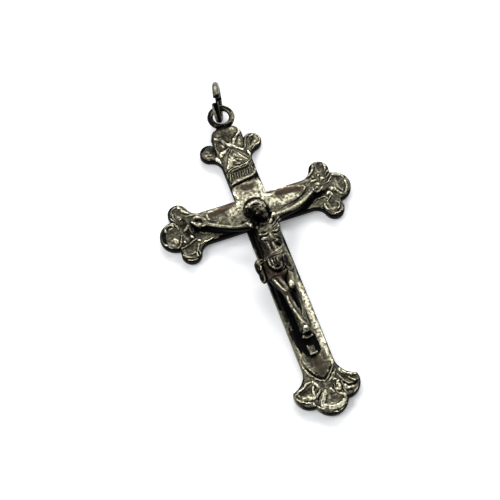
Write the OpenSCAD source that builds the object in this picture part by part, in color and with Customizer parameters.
/* [Cross] */
// Width over the two arm ends
cross_w = 26; // [24:0.5:30]
// Length of the upper limb, from the arms' centre line to the top of the cap
upper_l = 13.2; // [12.5:0.1:16]
// Length of the lower limb, from the arms' centre line to the tip of the foot lobe
lower_l = 29.1; // [27.5:0.1:34]
// Width of the upright shaft
shaft_w = 4.2; // [3.8:0.1:5]
// Width of the arms
arm_w = 4.5; // [4:0.1:5.2]
// Thickness of the plate without its relief
plate_t = 1; // [0.8:0.05:1.5]
// Height of the cast ridges over the plate
ridge_h = 0.28; // [0.15:0.01:0.4]
// Height of the smooth panel over the plate
panel_h = 0.15; // [0.08:0.01:0.25]
// Width of a rim or ridge
ridge_w = 0.32; // [0.25:0.01:0.45]
// Plain margin between the plate's edge and its rim
edge_w = 0.14; // [0.05:0.01:0.25]

/* [Arm ends] */
// Radius of the upper and lower lobe of an arm end
lobe_r = 1.33; // [1.1:0.01:1.6]
// Distance of those lobes from the arm's centre line
lobe_rise = 2.95; // [2.6:0.01:3.3]
// Distance from the end of the arm back to those lobes
lobe_back = 3.28; // [3:0.01:3.6]
// Radius of the lobe at the tip
tip_r = 2.06; // [1.8:0.01:2.4]
// Radius of the hollow flare between an edge and a lobe
flare_r = 1.52; // [1.2:0.01:2]

/* [Top end] */
// Radius of the two side lobes
top_lobe_r = 1.25; // [1:0.01:1.5]
// Distance of those lobes from the shaft's centre line
top_lobe_x = 3; // [2.7:0.05:3.4]
// Distance from the top of the cap down to those lobes
top_lobe_back = 3.05; // [2.8:0.05:3.5]
// Radius of the cap that the eye is soldered on
cap_r = 2.1; // [1.8:0.05:2.4]

/* [Foot end] */
// Radius of the two side lobes
foot_lobe_r = 2; // [1.7:0.05:2.3]
// Distance of those lobes from the shaft's centre line
foot_lobe_x = 2.25; // [2:0.05:2.6]
// Distance from the tip back to those lobes
foot_lobe_back = 3.5; // [3.2:0.05:4]
// Radius of the lobe at the tip
foot_tip_r = 2.2; // [1.9:0.05:2.5]
// Radius of the hollow flares above the side lobes
foot_flare_r = 2.66; // [2.3:0.02:3]

/* [Panel] */
// Distance from the arm end back to the pointed tip of the panel
panel_back = 5.9; // [5.5:0.1:7]
// Distance from the foot tip up to the pointed tip of the panel
panel_foot_back = 4.4; // [4:0.1:5.5]
// Length over which the panel closes to a point on the arms
panel_arm_point = 2.6; // [2:0.1:3.5]
// Length over which the panel closes to a point on the shaft
panel_foot_point = 3.3; // [2.5:0.1:4.5]
// Margin between the panel and the cross's edge
panel_margin = 0.42; // [0.3:0.02:0.7]
// Width of the fine line that borders the panel's foot
panel_line_w = 0.16; // [0.1:0.01:0.25]

/* [Scroll] */
// Width of the title scroll across the shaft
scroll_w = 3.5; // [3:0.1:4]
// Height of the title scroll
scroll_h = 2; // [1.6:0.1:2.4]
// Distance of the scroll's centre above the arms' centre line
scroll_y = 5.75; // [5.2:0.05:6.2]
// Slope of the scroll, in degrees
scroll_slope = 14; // [0:1:20]
// Radius of the scroll's rolled ends
scroll_curl_r = 0.38; // [0.3:0.02:0.45]
// Number of plain upright ribs on the scroll
scroll_ribs = 7; // [4:1:8]

/* [Eye and jump ring] */
// Outer diameter of the soldered eye
eye_d = 3.5; // [3.3:0.1:4.2]
// Wire diameter of the eye
eye_wire = 0.7; // [0.5:0.05:0.75]
// How far the eye's centre lies to the right of the shaft's centre line
eye_x = 0.2; // [0:0.05:0.3]
// Outer diameter of the open jump ring
ring_d = 5.5; // [5:0.1:6.5]
// Wire diameter of the jump ring
ring_wire = 0.85; // [0.6:0.05:0.9]
// Angle of the opening in the jump ring, in degrees
ring_open = 16; // [4:1:22]
// Place of that opening round the ring, in degrees above the level
ring_open_at = 75; // [20:1:85]
// Turn of the jump ring about the upright, in degrees
ring_turn = 10; // [0:1:14]
// Lean of the jump ring to one side, in degrees
ring_lean = 4; // [0:1:6]
// Clear space between the jump ring and the eye's wire
link_gap = 0.08; // [0.03:0.01:0.15]

/* [Figure] */
// Distance from the arms' centre line down to the shoulders
shoulder_drop = 2.5; // [2.2:0.1:3]
// Length of the trunk, from the shoulders to the hips
trunk_l = 7; // [6.4:0.1:7.6]
// Width of the chest
trunk_w = 3.6; // [3.3:0.1:3.9]
// Depth of the chest, from back to front
trunk_d = 2.2; // [1.9:0.1:2.5]
// Length of the legs, from the hips to the toes
leg_l = 10; // [9:0.1:10.8]
// Diameter of a thigh
thigh_d = 1.8; // [1.6:0.05:2]
// Length of the head with its beard
head_l = 3.5; // [3.1:0.1:3.9]
// Width of the head with its hair
head_w = 2.8; // [2.5:0.05:3]
// Tilt of the head toward the right of the view, in degrees
head_tilt = 24; // [0:1:35]
// Diameter of an upper arm
arm_d = 1.05; // [0.9:0.05:1.2]
// Distance of the nails from the middle of the figure
hand_reach = 8.02; // [7.8:0.02:8.3]
// How far the figure's hands are set to the right of the shaft's centre line
hand_shift = 0.36; // [0:0.02:0.4]
// Height of the nails in the hands above the arms' centre line
hand_rise = 0.15; // [0:0.05:0.5]
// Length of a hand over its curled fingers
hand_l = 1.75; // [1.5:0.05:2]
// Width of a hand
hand_w = 1.3; // [1.1:0.05:1.4]
// Thickness of a hand
hand_t = 0.62; // [0.5:0.02:0.75]

/* [Nails and foot rest] */
// Diameter of a nail's shank
nail_d = 0.4; // [0.3:0.02:0.45]
// Diameter of a nail's head
nail_head_d = 0.62; // [0.54:0.02:0.7]
// Height of a nail's head
nail_head_h = 0.2; // [0.12:0.02:0.3]
// Distance from the toes back up to the nail in the feet
foot_nail_back = 1.45; // [1.2:0.05:1.7]
// Width of the foot rest
rest_w = 0.95; // [0.7:0.05:1.3]
// Length of the foot rest
rest_l = 1.25; // [1:0.05:1.5]
// Height of the foot rest over the panel
rest_h = 0.95; // [0.7:0.05:1.2]
// Gap between the toes and the foot rest
rest_gap = 0.75; // [0.4:0.05:1]

/* [Fits] */
// Gap under and between pieces that seat on each other
seat_gap = 0.03; // [0.02:0.01:0.08]
// Clear space on the plate round each hand
hand_clear = 0.12; // [0.05:0.01:0.2]
// Clear space round a nail's head
head_clear = 0.08; // [0.05:0.01:0.12]

/* [Hidden] */

$fn = 48;
bronze_grey = [0.36, 0.34, 0.3];
bright_grey = [0.62, 0.61, 0.58];
dark_grey = [0.25, 0.24, 0.22];

// How deep one form is sunk into another that it is fused with
sink = 0.1;
panel_top = plate_t + panel_h;

// Arm ends
lobe_x = cross_w / 2 - lobe_back;
tip_x = cross_w / 2 - tip_r;

// Top end
top_lobe_y = upper_l - top_lobe_back;
cap_y = upper_l - cap_r * 0.73;

// Foot end
foot_lobe_y = -lower_l + foot_lobe_back;
foot_tip_y = -lower_l + foot_tip_r;
foot_flare_y = foot_lobe_y + foot_lobe_r * 1.6;

// Panel
panel_arm_x = cross_w / 2 - panel_back;
panel_foot_y = -lower_l + panel_foot_back;
panel_arm_half = arm_w / 2 - panel_margin;
panel_shaft_half = shaft_w / 2 - panel_margin;

// Eye and jump ring: the ring stands on the surface and passes under the eye's far wire
eye_mid_r = (eye_d - eye_wire) / 2;
ring_mid_r = (ring_d - ring_wire) / 2;
eye_y = upper_l + eye_mid_r + eye_wire * 0.15;
eye_z = ring_wire + link_gap + eye_wire / 2;
ring_y = eye_y + eye_mid_r + link_gap;
ring_z = ring_mid_r * cos(ring_lean) + ring_wire / 2;

// Figure
seat_z = panel_top + seat_gap;
hand_z = plate_t + seat_gap;
hip_y = -shoulder_drop - trunk_l;
toe_y = hip_y - leg_l;
foot_nail_y = toe_y + foot_nail_back;
nail_hole_r = nail_d / 2 + seat_gap;
palm_z = hand_z + hand_t * 0.72;
instep_z = seat_z + thigh_d * 0.72;
rest_y = toe_y - rest_gap;

// Outline of the cross drawn in by a margin, built of circles and straight limbs
module outline(margin = 0) {
    square([cross_w - 2 * lobe_back, arm_w - 2 * margin], center = true);
    shaft_top = upper_l - cap_r / 2;
    shaft_bottom = foot_lobe_y;
    translate([-shaft_w / 2 + margin, shaft_bottom])
        square([shaft_w - 2 * margin, shaft_top - shaft_bottom]);
    for (side = [-1, 1]) {
        arm_end_outline(side, margin);
        translate([side * top_lobe_x, top_lobe_y]) circle(top_lobe_r - margin);
        flare_patch([side * shaft_w / 2, 0], [side, 0], [side * top_lobe_x, top_lobe_y],
                    top_lobe_r, flare_r, margin);
    }
    cap_outline(margin);
    foot_outline(margin);
}

module arm_end_outline(side, margin = 0) {
    translate([side * tip_x, 0]) circle(tip_r - margin);
    for (up = [-1, 1]) {
        translate([side * lobe_x, up * lobe_rise]) circle(lobe_r - margin);
        flare_patch([0, up * arm_w / 2], [0, up], [side * lobe_x, up * lobe_rise],
                    lobe_r, flare_r, margin);
        translate([side * (lobe_x + tip_x) / 2, up * lobe_rise / 2])
            square([lobe_r, lobe_rise * 0.9], center = true);
    }
}

// Fills the corner between a straight edge and a lobe, then rounds it with a hollow circle.
// The edge passes through start and faces the unit vector out; the lobe lies away from the crossing.
module flare_patch(start, out, lobe, lobe_radius, flare, margin) {
    along = [abs(out[1]), abs(out[0])];
    rise = (lobe[0] - start[0]) * out[0] + (lobe[1] - start[1]) * out[1];
    run = sqrt(max(0.01, (lobe_radius + flare) * (lobe_radius + flare) - (flare - rise) * (flare - rise)));
    way = sign(lobe[0] * along[0] + lobe[1] * along[1]);
    far = lobe[0] * along[0] + lobe[1] * along[1];
    near = far - way * run;
    edge = start[0] * out[0] + start[1] * out[1];
    centre = along * near + out * (edge + flare);
    difference() {
        polygon([
            along * near + out * (edge - 2 * margin - sink),
            along * near + out * (edge + sink / 100),
            centre,
            lobe,
            along * far + out * (edge - 2 * margin - sink)
        ]);
        translate(centre) circle(flare + margin);
    }
}

module cap_outline(margin = 0) {
    intersection() {
        translate([0, cap_y]) circle(cap_r - margin);
        translate([-cap_r, cap_y - cap_r]) square([2 * cap_r, upper_l - margin - cap_y + cap_r]);
    }
}

module foot_outline(margin = 0) {
    translate([0, foot_tip_y]) circle(foot_tip_r - margin);
    flare_x = shaft_w / 2 + foot_flare_r;
    lobe_edge = foot_lobe_x + foot_lobe_r * 0.95 - margin;
    difference() {
        union() {
            for (side = [-1, 1])
                translate([side * foot_lobe_x, foot_lobe_y]) circle(foot_lobe_r - margin);
            translate([-lobe_edge, foot_lobe_y]) square([2 * lobe_edge, foot_flare_y - foot_lobe_y]);
        }
        for (side = [-1, 1])
            translate([side * flare_x, foot_flare_y]) circle(foot_flare_r + margin);
    }
}

// A band of the given width that runs along the inside of the outline
module edge_rim() {
    difference() {
        outline(edge_w);
        outline(edge_w + ridge_w);
    }
}

// The parts of the plate that carry leaf relief
module end_zones() {
    for (side = [-1, 1])
        translate([side * (cross_w / 2 + panel_arm_x + panel_margin) / 2, 0])
            square([cross_w / 2 - panel_arm_x - panel_margin, 4 * arm_w], center = true);
    translate([-cross_w / 4, -lower_l]) square([cross_w / 2, panel_foot_back + 0.75 * panel_foot_point]);
    translate([-cross_w / 4, scroll_y + scroll_h])
        square([cross_w / 2, upper_l - cap_r - scroll_y - scroll_h]);
}

function arc(centre, r, from, to, steps) =
    [for (i = [0:steps])
        let (a = from + (to - from) * i / steps)
        centre + r * [cos(a), sin(a)]];

// Outline of a drop: a large round end at the start, a small one at the given distance along +X
function drop_points(big, small, length) =
    let (lean = acos((big - small) / length))
    concat(arc([0, 0], big, lean, 360 - lean, 16), arc([length, 0], small, -lean, lean, 6));

// A raised drop-shaped rim round a sunk field, whose own point ends where the rim meets itself
module drop_rim(at, angle, big, small, length, width = ridge_w) {
    point_r = ridge_w / 8;
    field_l = min(length, length * (big - width - point_r) / (big - small));
    translate(at)
        rotate(angle)
            difference() {
                polygon(drop_points(big, small, length));
                polygon(drop_points(big - width, max(small - width, point_r), field_l));
            }
}

// A tapered leaf stem
module stem(at, angle, big, small, length) {
    translate(at) rotate(angle) polygon(drop_points(big, small, length));
}

// A slim straight bar from one point to another
module bar(from, to, width = ridge_w) {
    way = to - from;
    translate(from) rotate(atan2(way[1], way[0])) translate([0, -width / 2]) square([norm(way), width]);
}

module arm_end_relief(side) {
    scale([side, 1]) {
        for (up = [-1, 1]) {
            lobe = [lobe_x, up * lobe_rise];
            drop_rim(lobe, up * 112 + 180, lobe_r - edge_w, lobe_r * 0.28, lobe_r * 1.15);
            bar([tip_x + tip_r * 0.05, up * lobe_rise * 0.62],
                [tip_x - tip_r * 0.5, up * lobe_rise * 0.3], ridge_w * 0.8);
            stem([lobe_x - lobe_r * 0.41, up * lobe_rise * 0.5], 180 + up * 10,
                 lobe_r * 0.27, lobe_r * 0.09, lobe_r * 1.28);
        }
        drop_rim([tip_x, 0], 180, tip_r - edge_w, tip_r * 0.3, tip_r * 0.8, ridge_w * 1.2);
    }
}

module top_relief() {
    cross_over = [0, top_lobe_y + top_lobe_r * 0.12];
    drop_x = shaft_w * 0.29;
    for (side = [-1, 1]) {
        bar(cross_over, [side * shaft_w * 0.42, cross_over[1] + shaft_w * 0.42]);
        bar(cross_over, [side * shaft_w * 0.42, cross_over[1] - shaft_w * 0.32]);
        drop_rim([side * drop_x, cross_over[1] + top_lobe_r * 0.1], -90,
                 shaft_w * 0.148, shaft_w * 0.07, shaft_w * 0.1, ridge_w * 0.65);
        drop_rim([side * top_lobe_x, top_lobe_y], 90 - side * 98,
                 top_lobe_r - edge_w, top_lobe_r * 0.28, top_lobe_r * 0.76);
        for (line = [0, 1])
            bar([0, cross_over[1] - shaft_w * (0.083 + line * 0.13)],
                [side * shaft_w * 0.45, cross_over[1] - shaft_w * (0.81 + line * 0.07)], ridge_w * 0.65);
    }
}

module foot_relief() {
    for (side = [-1, 1]) {
        drop_rim([side * (foot_lobe_x + foot_lobe_r * 0.22), foot_lobe_y + foot_lobe_r * 0.05],
                 90 + side * 62, foot_lobe_r * 0.575, foot_lobe_r * 0.15, foot_lobe_r * 0.875);
        stem([side * foot_lobe_x * 0.51, foot_lobe_y - foot_lobe_r * 0.175], 90 - side * 8,
             foot_lobe_r * 0.21, foot_lobe_r * 0.07, foot_lobe_r * 0.625);
        bar([side * foot_lobe_x * 0.42, foot_lobe_y - foot_lobe_r * 0.1],
            [side * foot_lobe_x * 0.78, foot_lobe_y - foot_lobe_r * 0.875], ridge_w * 0.8);
    }
    drop_rim([0, foot_tip_y + foot_tip_r * 0.09], 90,
             foot_tip_r * 0.62, foot_tip_r * 0.09, foot_tip_r * 0.91, ridge_w * 1.15);
}

// A limb of the panel that closes to a point at the given distance from the crossing, along +X
module pointed_limb(half, reach, point) {
    body = reach - point;
    bend = (half * half + point * point) / (2 * half);
    square([2 * body, 2 * half], center = true);
    intersection() {
        translate([body, half - bend]) circle(bend);
        translate([body, bend - half]) circle(bend);
        translate([body - sink, -half]) square([point + 2 * sink, 2 * half]);
    }
}

module panel_outline(margin = 0) {
    for (side = [0, 180])
        rotate(side) pointed_limb(panel_arm_half - margin, panel_arm_x - margin, panel_arm_point);
    difference() {
        rotate(-90) pointed_limb(panel_shaft_half - margin, -panel_foot_y - margin, panel_foot_point);
        translate([-shaft_w, scroll_y]) square([2 * shaft_w, lower_l]);
    }
}

// The fine line that borders the panel below the figure
module panel_line() {
    intersection() {
        difference() {
            panel_outline(0);
            panel_outline(panel_line_w);
        }
        translate([-shaft_w, -lower_l]) square([2 * shaft_w, panel_foot_back + 1.25 * panel_foot_point]);
    }
}

// The title scroll with rolled ends and plain upright ribs in place of letters
module scroll() {
    field_h = scroll_h - 2 * ridge_w;
    slope = tan(scroll_slope);
    multmatrix([[1, 0, 0, 0], [slope, 1, 0, scroll_y], [0, 0, 1, plate_t - sink], [0, 0, 0, 1]]) {
        linear_extrude(sink + panel_h) square([scroll_w, scroll_h], center = true);
        linear_extrude(sink + ridge_h) {
            difference() {
                square([scroll_w, scroll_h], center = true);
                square([scroll_w - 2 * ridge_w, field_h], center = true);
            }
            for (i = [1:scroll_ribs])
                translate([(i / (scroll_ribs + 1) - 0.5) * (scroll_w - 2 * ridge_w), 0])
                    square([ridge_w * 0.4, field_h * 0.82], center = true);
        }
    }
    for (end = [-1, 1])
        translate([end * (scroll_w / 2 - scroll_curl_r * 0.6),
                   scroll_y + end * slope * scroll_w / 2, plate_t])
            rotate([90, 0, 0])
                cylinder(r = scroll_curl_r, h = scroll_h * 0.9, center = true);
}

module eye() {
    translate([eye_x, eye_y, eye_z]) rotate_extrude() translate([eye_mid_r, 0]) circle(eye_wire / 2);
    // Smooth pad of solder that carries the near side of the eye on the cap
    pad_r = cap_r * 0.68;
    translate([eye_x / 2, upper_l + eye_wire / 2 - pad_r, plate_t - sink])
        cylinder(r = pad_r, h = eye_z - plate_t + sink);
}

module foot_rest() {
    translate([-rest_w / 2, rest_y - rest_l, plate_t - sink])
        cube([rest_w, rest_l, panel_h + sink + rest_h]);
}

module nail_holes(r) {
    hole_h = 3 * plate_t + 2 * trunk_d;
    for (side = [-1, 1])
        translate([hand_shift + side * hand_reach, hand_rise, -plate_t]) cylinder(r = r, h = hole_h);
    translate([0, foot_nail_y, -plate_t]) cylinder(r = r, h = hole_h);
}

// All cast ridges as seen from above, cleared where the hands lie on the plate
module ridges() {
    difference() {
        union() {
            intersection() {
                edge_rim();
                end_zones();
            }
            panel_line();
            top_relief();
            foot_relief();
            for (side = [-1, 1])
                arm_end_relief(side);
        }
        for (side = [-1, 1])
            translate([hand_shift + side * hand_reach, hand_rise])
                square([hand_l + 2 * hand_clear, hand_w + 2 * hand_clear], center = true);
    }
}

module cross() {
    color(bronze_grey)
        difference() {
            union() {
                linear_extrude(plate_t) outline();
                translate([0, 0, plate_t - sink]) {
                    linear_extrude(panel_h + sink) panel_outline();
                    linear_extrude(ridge_h + sink) ridges();
                }
                scroll();
                eye();
                foot_rest();
            }
            nail_holes(nail_hole_r);
        }
}

// Points of an oval ring across the given axis, which is 0 for X or 1 for Y
function oval(at, half_side, half_up, axis, sides) =
    [for (i = [0:sides - 1])
        let (a = 360 * i / sides)
        axis == 1
            ? at + [half_side * cos(a), 0, half_up * sin(a)]
            : at + [0, half_side * cos(a), half_up * sin(a)]];

// A closed skin over rings that all have the same number of points
module loft(rings) {
    sides = len(rings[0]);
    last = len(rings) - 1;
    polyhedron(
        points = [for (r = rings) each r],
        faces = concat(
            [[for (i = [0:sides - 1]) i]],
            [for (k = [0:last - 1], i = [0:sides - 1])
                let (a = k * sides + i, b = k * sides + (i + 1) % sides)
                each [[a, a + sides, b], [b, a + sides, b + sides]]],
            [[for (i = [sides - 1:-1:0]) last * sides + i]]
        )
    );
}

// Trunk: how far down it a section lies, its height over the seat, its half width and its half depth.
// Lengths are shares of the trunk's length, the chest's depth, its width and its depth.
trunk_rows = [
    [-0.06, 0.62, 0.16, 0.20],
    [0.02, 0.60, 0.34, 0.34],
    [0.14, 0.54, 0.46, 0.44],
    [0.28, 0.52, 0.47, 0.48],
    [0.42, 0.50, 0.42, 0.46],
    [0.56, 0.44, 0.37, 0.38],
    [0.68, 0.42, 0.39, 0.38],
    [0.84, 0.44, 0.47, 0.42],
    [1.00, 0.46, 0.49, 0.44],
    [1.10, 0.44, 0.42, 0.36]
];

module trunk() {
    loft([for (row = trunk_rows)
        oval([0, -shoulder_drop - row[0] * trunk_l, seat_z + row[1] * trunk_d],
             row[2] * trunk_w, row[3] * trunk_d, 1, 16)]);
}

// Loincloth: the same columns as the trunk's, a little fuller so that it stands over the skin
cloth_rows = [
    [0.74, 0.44, 0.42, 0.42],
    [0.78, 0.46, 0.50, 0.50],
    [0.90, 0.48, 0.54, 0.54],
    [1.04, 0.48, 0.54, 0.52],
    [1.18, 0.46, 0.50, 0.46],
    [1.22, 0.44, 0.44, 0.40]
];

// The knot at the hip and the end that hangs from it.
// How far down the trunk a section lies, how far out, its half width and its half depth.
knot_rows = [
    [0.76, 0.52, 0.10, 0.14],
    [0.80, 0.58, 0.18, 0.28],
    [0.88, 0.61, 0.22, 0.32],
    [0.98, 0.61, 0.17, 0.24],
    [1.12, 0.62, 0.20, 0.28],
    [1.26, 0.62, 0.17, 0.24],
    [1.32, 0.62, 0.10, 0.12]
];

module loincloth() {
    loft([for (row = cloth_rows)
        oval([0, -shoulder_drop - row[0] * trunk_l, seat_z + row[1] * trunk_d],
             row[2] * trunk_w, row[3] * trunk_d, 1, 16)]);
    loft([for (row = knot_rows)
        oval([-row[1] * trunk_w, -shoulder_drop - row[0] * trunk_l, seat_z + 0.4 * trunk_d],
             row[2] * trunk_w, row[3] * trunk_d, 1, 10)]);
}

// Arm: the way from the middle to the nail, height over the seat, half width and half depth.
// Lengths are shares of the reach, the chest's depth and the arm's diameter.
arm_rows = [
    [0.05, 0.62, 0.55, 0.60],
    [0.18, 0.64, 0.62, 0.62],
    [0.28, 0.60, 0.52, 0.52],
    [0.42, 0.52, 0.48, 0.46],
    [0.55, 0.44, 0.40, 0.40],
    [0.66, 0.38, 0.42, 0.40],
    [0.80, 0.26, 0.32, 0.32],
    [0.89, 0.14, 0.27, 0.27]
];

// Wrist, palm and curled fingers: the way past the nail, half width and half thickness.
// Lengths are shares of the hand's length, width and thickness.
hand_rows = [
    [-0.62, 0.26, 0.50],
    [-0.40, 0.36, 0.55],
    [-0.10, 0.50, 0.50],
    [0.20, 0.48, 0.48],
    [0.42, 0.30, 0.40]
];

module arm(side) {
    reach = hand_reach + side * hand_shift;
    rise = shoulder_drop + hand_rise;
    way = function (share) -shoulder_drop + rise * max(0, share - 0.16) / 0.84;
    mirror([side < 0 ? 1 : 0, 0, 0]) {
        loft([for (row = arm_rows)
            oval([row[0] * reach, way(row[0]), seat_z + row[1] * trunk_d],
                 row[2] * arm_d, row[3] * arm_d, 0, 10)]);
        loft([for (row = hand_rows)
            oval([reach + row[0] * hand_l, hand_rise * (1 + row[0] * 0.3), hand_z + hand_t / 2],
                 row[1] * hand_w, row[2] * hand_t, 0, 14)]);
    }
}

// Leg: how far down it a section lies, its place across, its height over the seat and its half width.
// Lengths are shares of the leg's length and the thigh's diameter; the last column is the half depth.
leg_rows = [
    [-0.02, 0.46, 0.66, 0.50, 0.50],
    [0.14, 0.42, 0.86, 0.46, 0.50],
    [0.28, 0.34, 1.08, 0.40, 0.46],
    [0.36, 0.30, 1.12, 0.36, 0.40],
    [0.48, 0.26, 0.92, 0.34, 0.36],
    [0.60, 0.20, 0.76, 0.30, 0.32],
    [0.74, 0.14, 0.66, 0.20, 0.24]
];

module leg(side) {
    loft([for (row = leg_rows)
        oval([side * row[1] * thigh_d, hip_y - row[0] * leg_l, seat_z + row[2] * thigh_d],
             row[3] * thigh_d, row[4] * thigh_d, 1, 10)]);
}

// The crossed feet: one form over both, sloping down to the toes
module feet() {
    loft([for (row = [[0.68, 0.60, 0.30, 0.30], [0.78, 0.52, 0.30, 0.38], [0.86, 0.40, 0.34, 0.40],
                      [0.94, 0.26, 0.36, 0.26], [1.0, 0.18, 0.28, 0.14]])
        oval([0, hip_y - row[0] * leg_l, seat_z + row[1] * thigh_d],
             row[2] * thigh_d, row[3] * thigh_d, 1, 12)]);
}

// Head with hair and beard: how far along it a section lies from the crown, and its two half widths.
// The brow, nose and beard stand forward by the last column, and all are shares of the head's sizes.
head_rows = [
    [0.00, 0.14, 0.16, 0.00],
    [0.08, 0.34, 0.36, 0.00],
    [0.24, 0.48, 0.48, 0.00],
    [0.42, 0.50, 0.48, 0.02],
    [0.56, 0.46, 0.44, 0.05],
    [0.70, 0.38, 0.38, 0.06],
    [0.84, 0.26, 0.30, 0.10],
    [0.96, 0.12, 0.16, 0.14]
];

module head() {
    translate([-head_w * 0.07, -shoulder_drop + head_l * 0.34, seat_z + trunk_d * 0.9])
        rotate([-12, 0, head_tilt])
            translate([0, head_l * 0.47, 0])
                loft([for (row = head_rows)
                    oval([0, -row[0] * head_l, row[3] * head_w], row[1] * head_w, row[2] * head_w, 1, 14)]);
}

module corpus() {
    color(dark_grey)
        difference() {
            union() {
                trunk();
                loincloth();
                head();
                feet();
                for (side = [-1, 1]) {
                    arm(side);
                    leg(side);
                }
            }
            // Flat back that seats on the panel, and lower seats under the hands
            translate([-panel_arm_x - 2 * hand_clear, toe_y - thigh_d, seat_z - plate_t * 3])
                cube([2 * (panel_arm_x + 2 * hand_clear),
                      thigh_d + trunk_l + leg_l + 2 * shoulder_drop, plate_t * 3]);
            for (side = [-1, 1])
                translate([hand_shift + side * hand_reach, hand_rise, palm_z])
                    cylinder(d = nail_head_d + 2 * head_clear, h = hand_t);
            translate([0, foot_nail_y, instep_z]) cylinder(d = nail_head_d + 2 * head_clear, h = trunk_d);
            nail_holes(nail_hole_r);
        }
}

// A riveted nail that stands on the back face of the plate
module nail(at, shoulder_z) {
    color(bright_grey)
        translate(at) {
            cylinder(d = nail_d, h = shoulder_z + seat_gap + sink / 2);
            translate([0, 0, shoulder_z + seat_gap])
                rotate_extrude()
                    intersection() {
                        translate([0, nail_head_h - nail_head_d * 0.6]) circle(nail_head_d * 0.6);
                        square([nail_head_d / 2, nail_head_h]);
                    }
        }
}

module nail_left() {
    nail([hand_shift - hand_reach, hand_rise, 0], palm_z);
}

module nail_right() {
    nail([hand_shift + hand_reach, hand_rise, 0], palm_z);
}

module nail_feet() {
    nail([0, foot_nail_y, 0], instep_z);
}

module jump_ring() {
    color(bright_grey)
        translate([eye_x, ring_y, ring_z])
            rotate([0, -ring_lean, -ring_turn])
                rotate([90, 0, 90])
                    rotate([0, 0, 180 - ring_open_at + ring_open / 2])
                        rotate_extrude(angle = 360 - ring_open)
                            translate([ring_mid_r, 0]) circle(ring_wire / 2);
}

cross();
corpus();
nail_left();
nail_right();
nail_feet();
jump_ring();
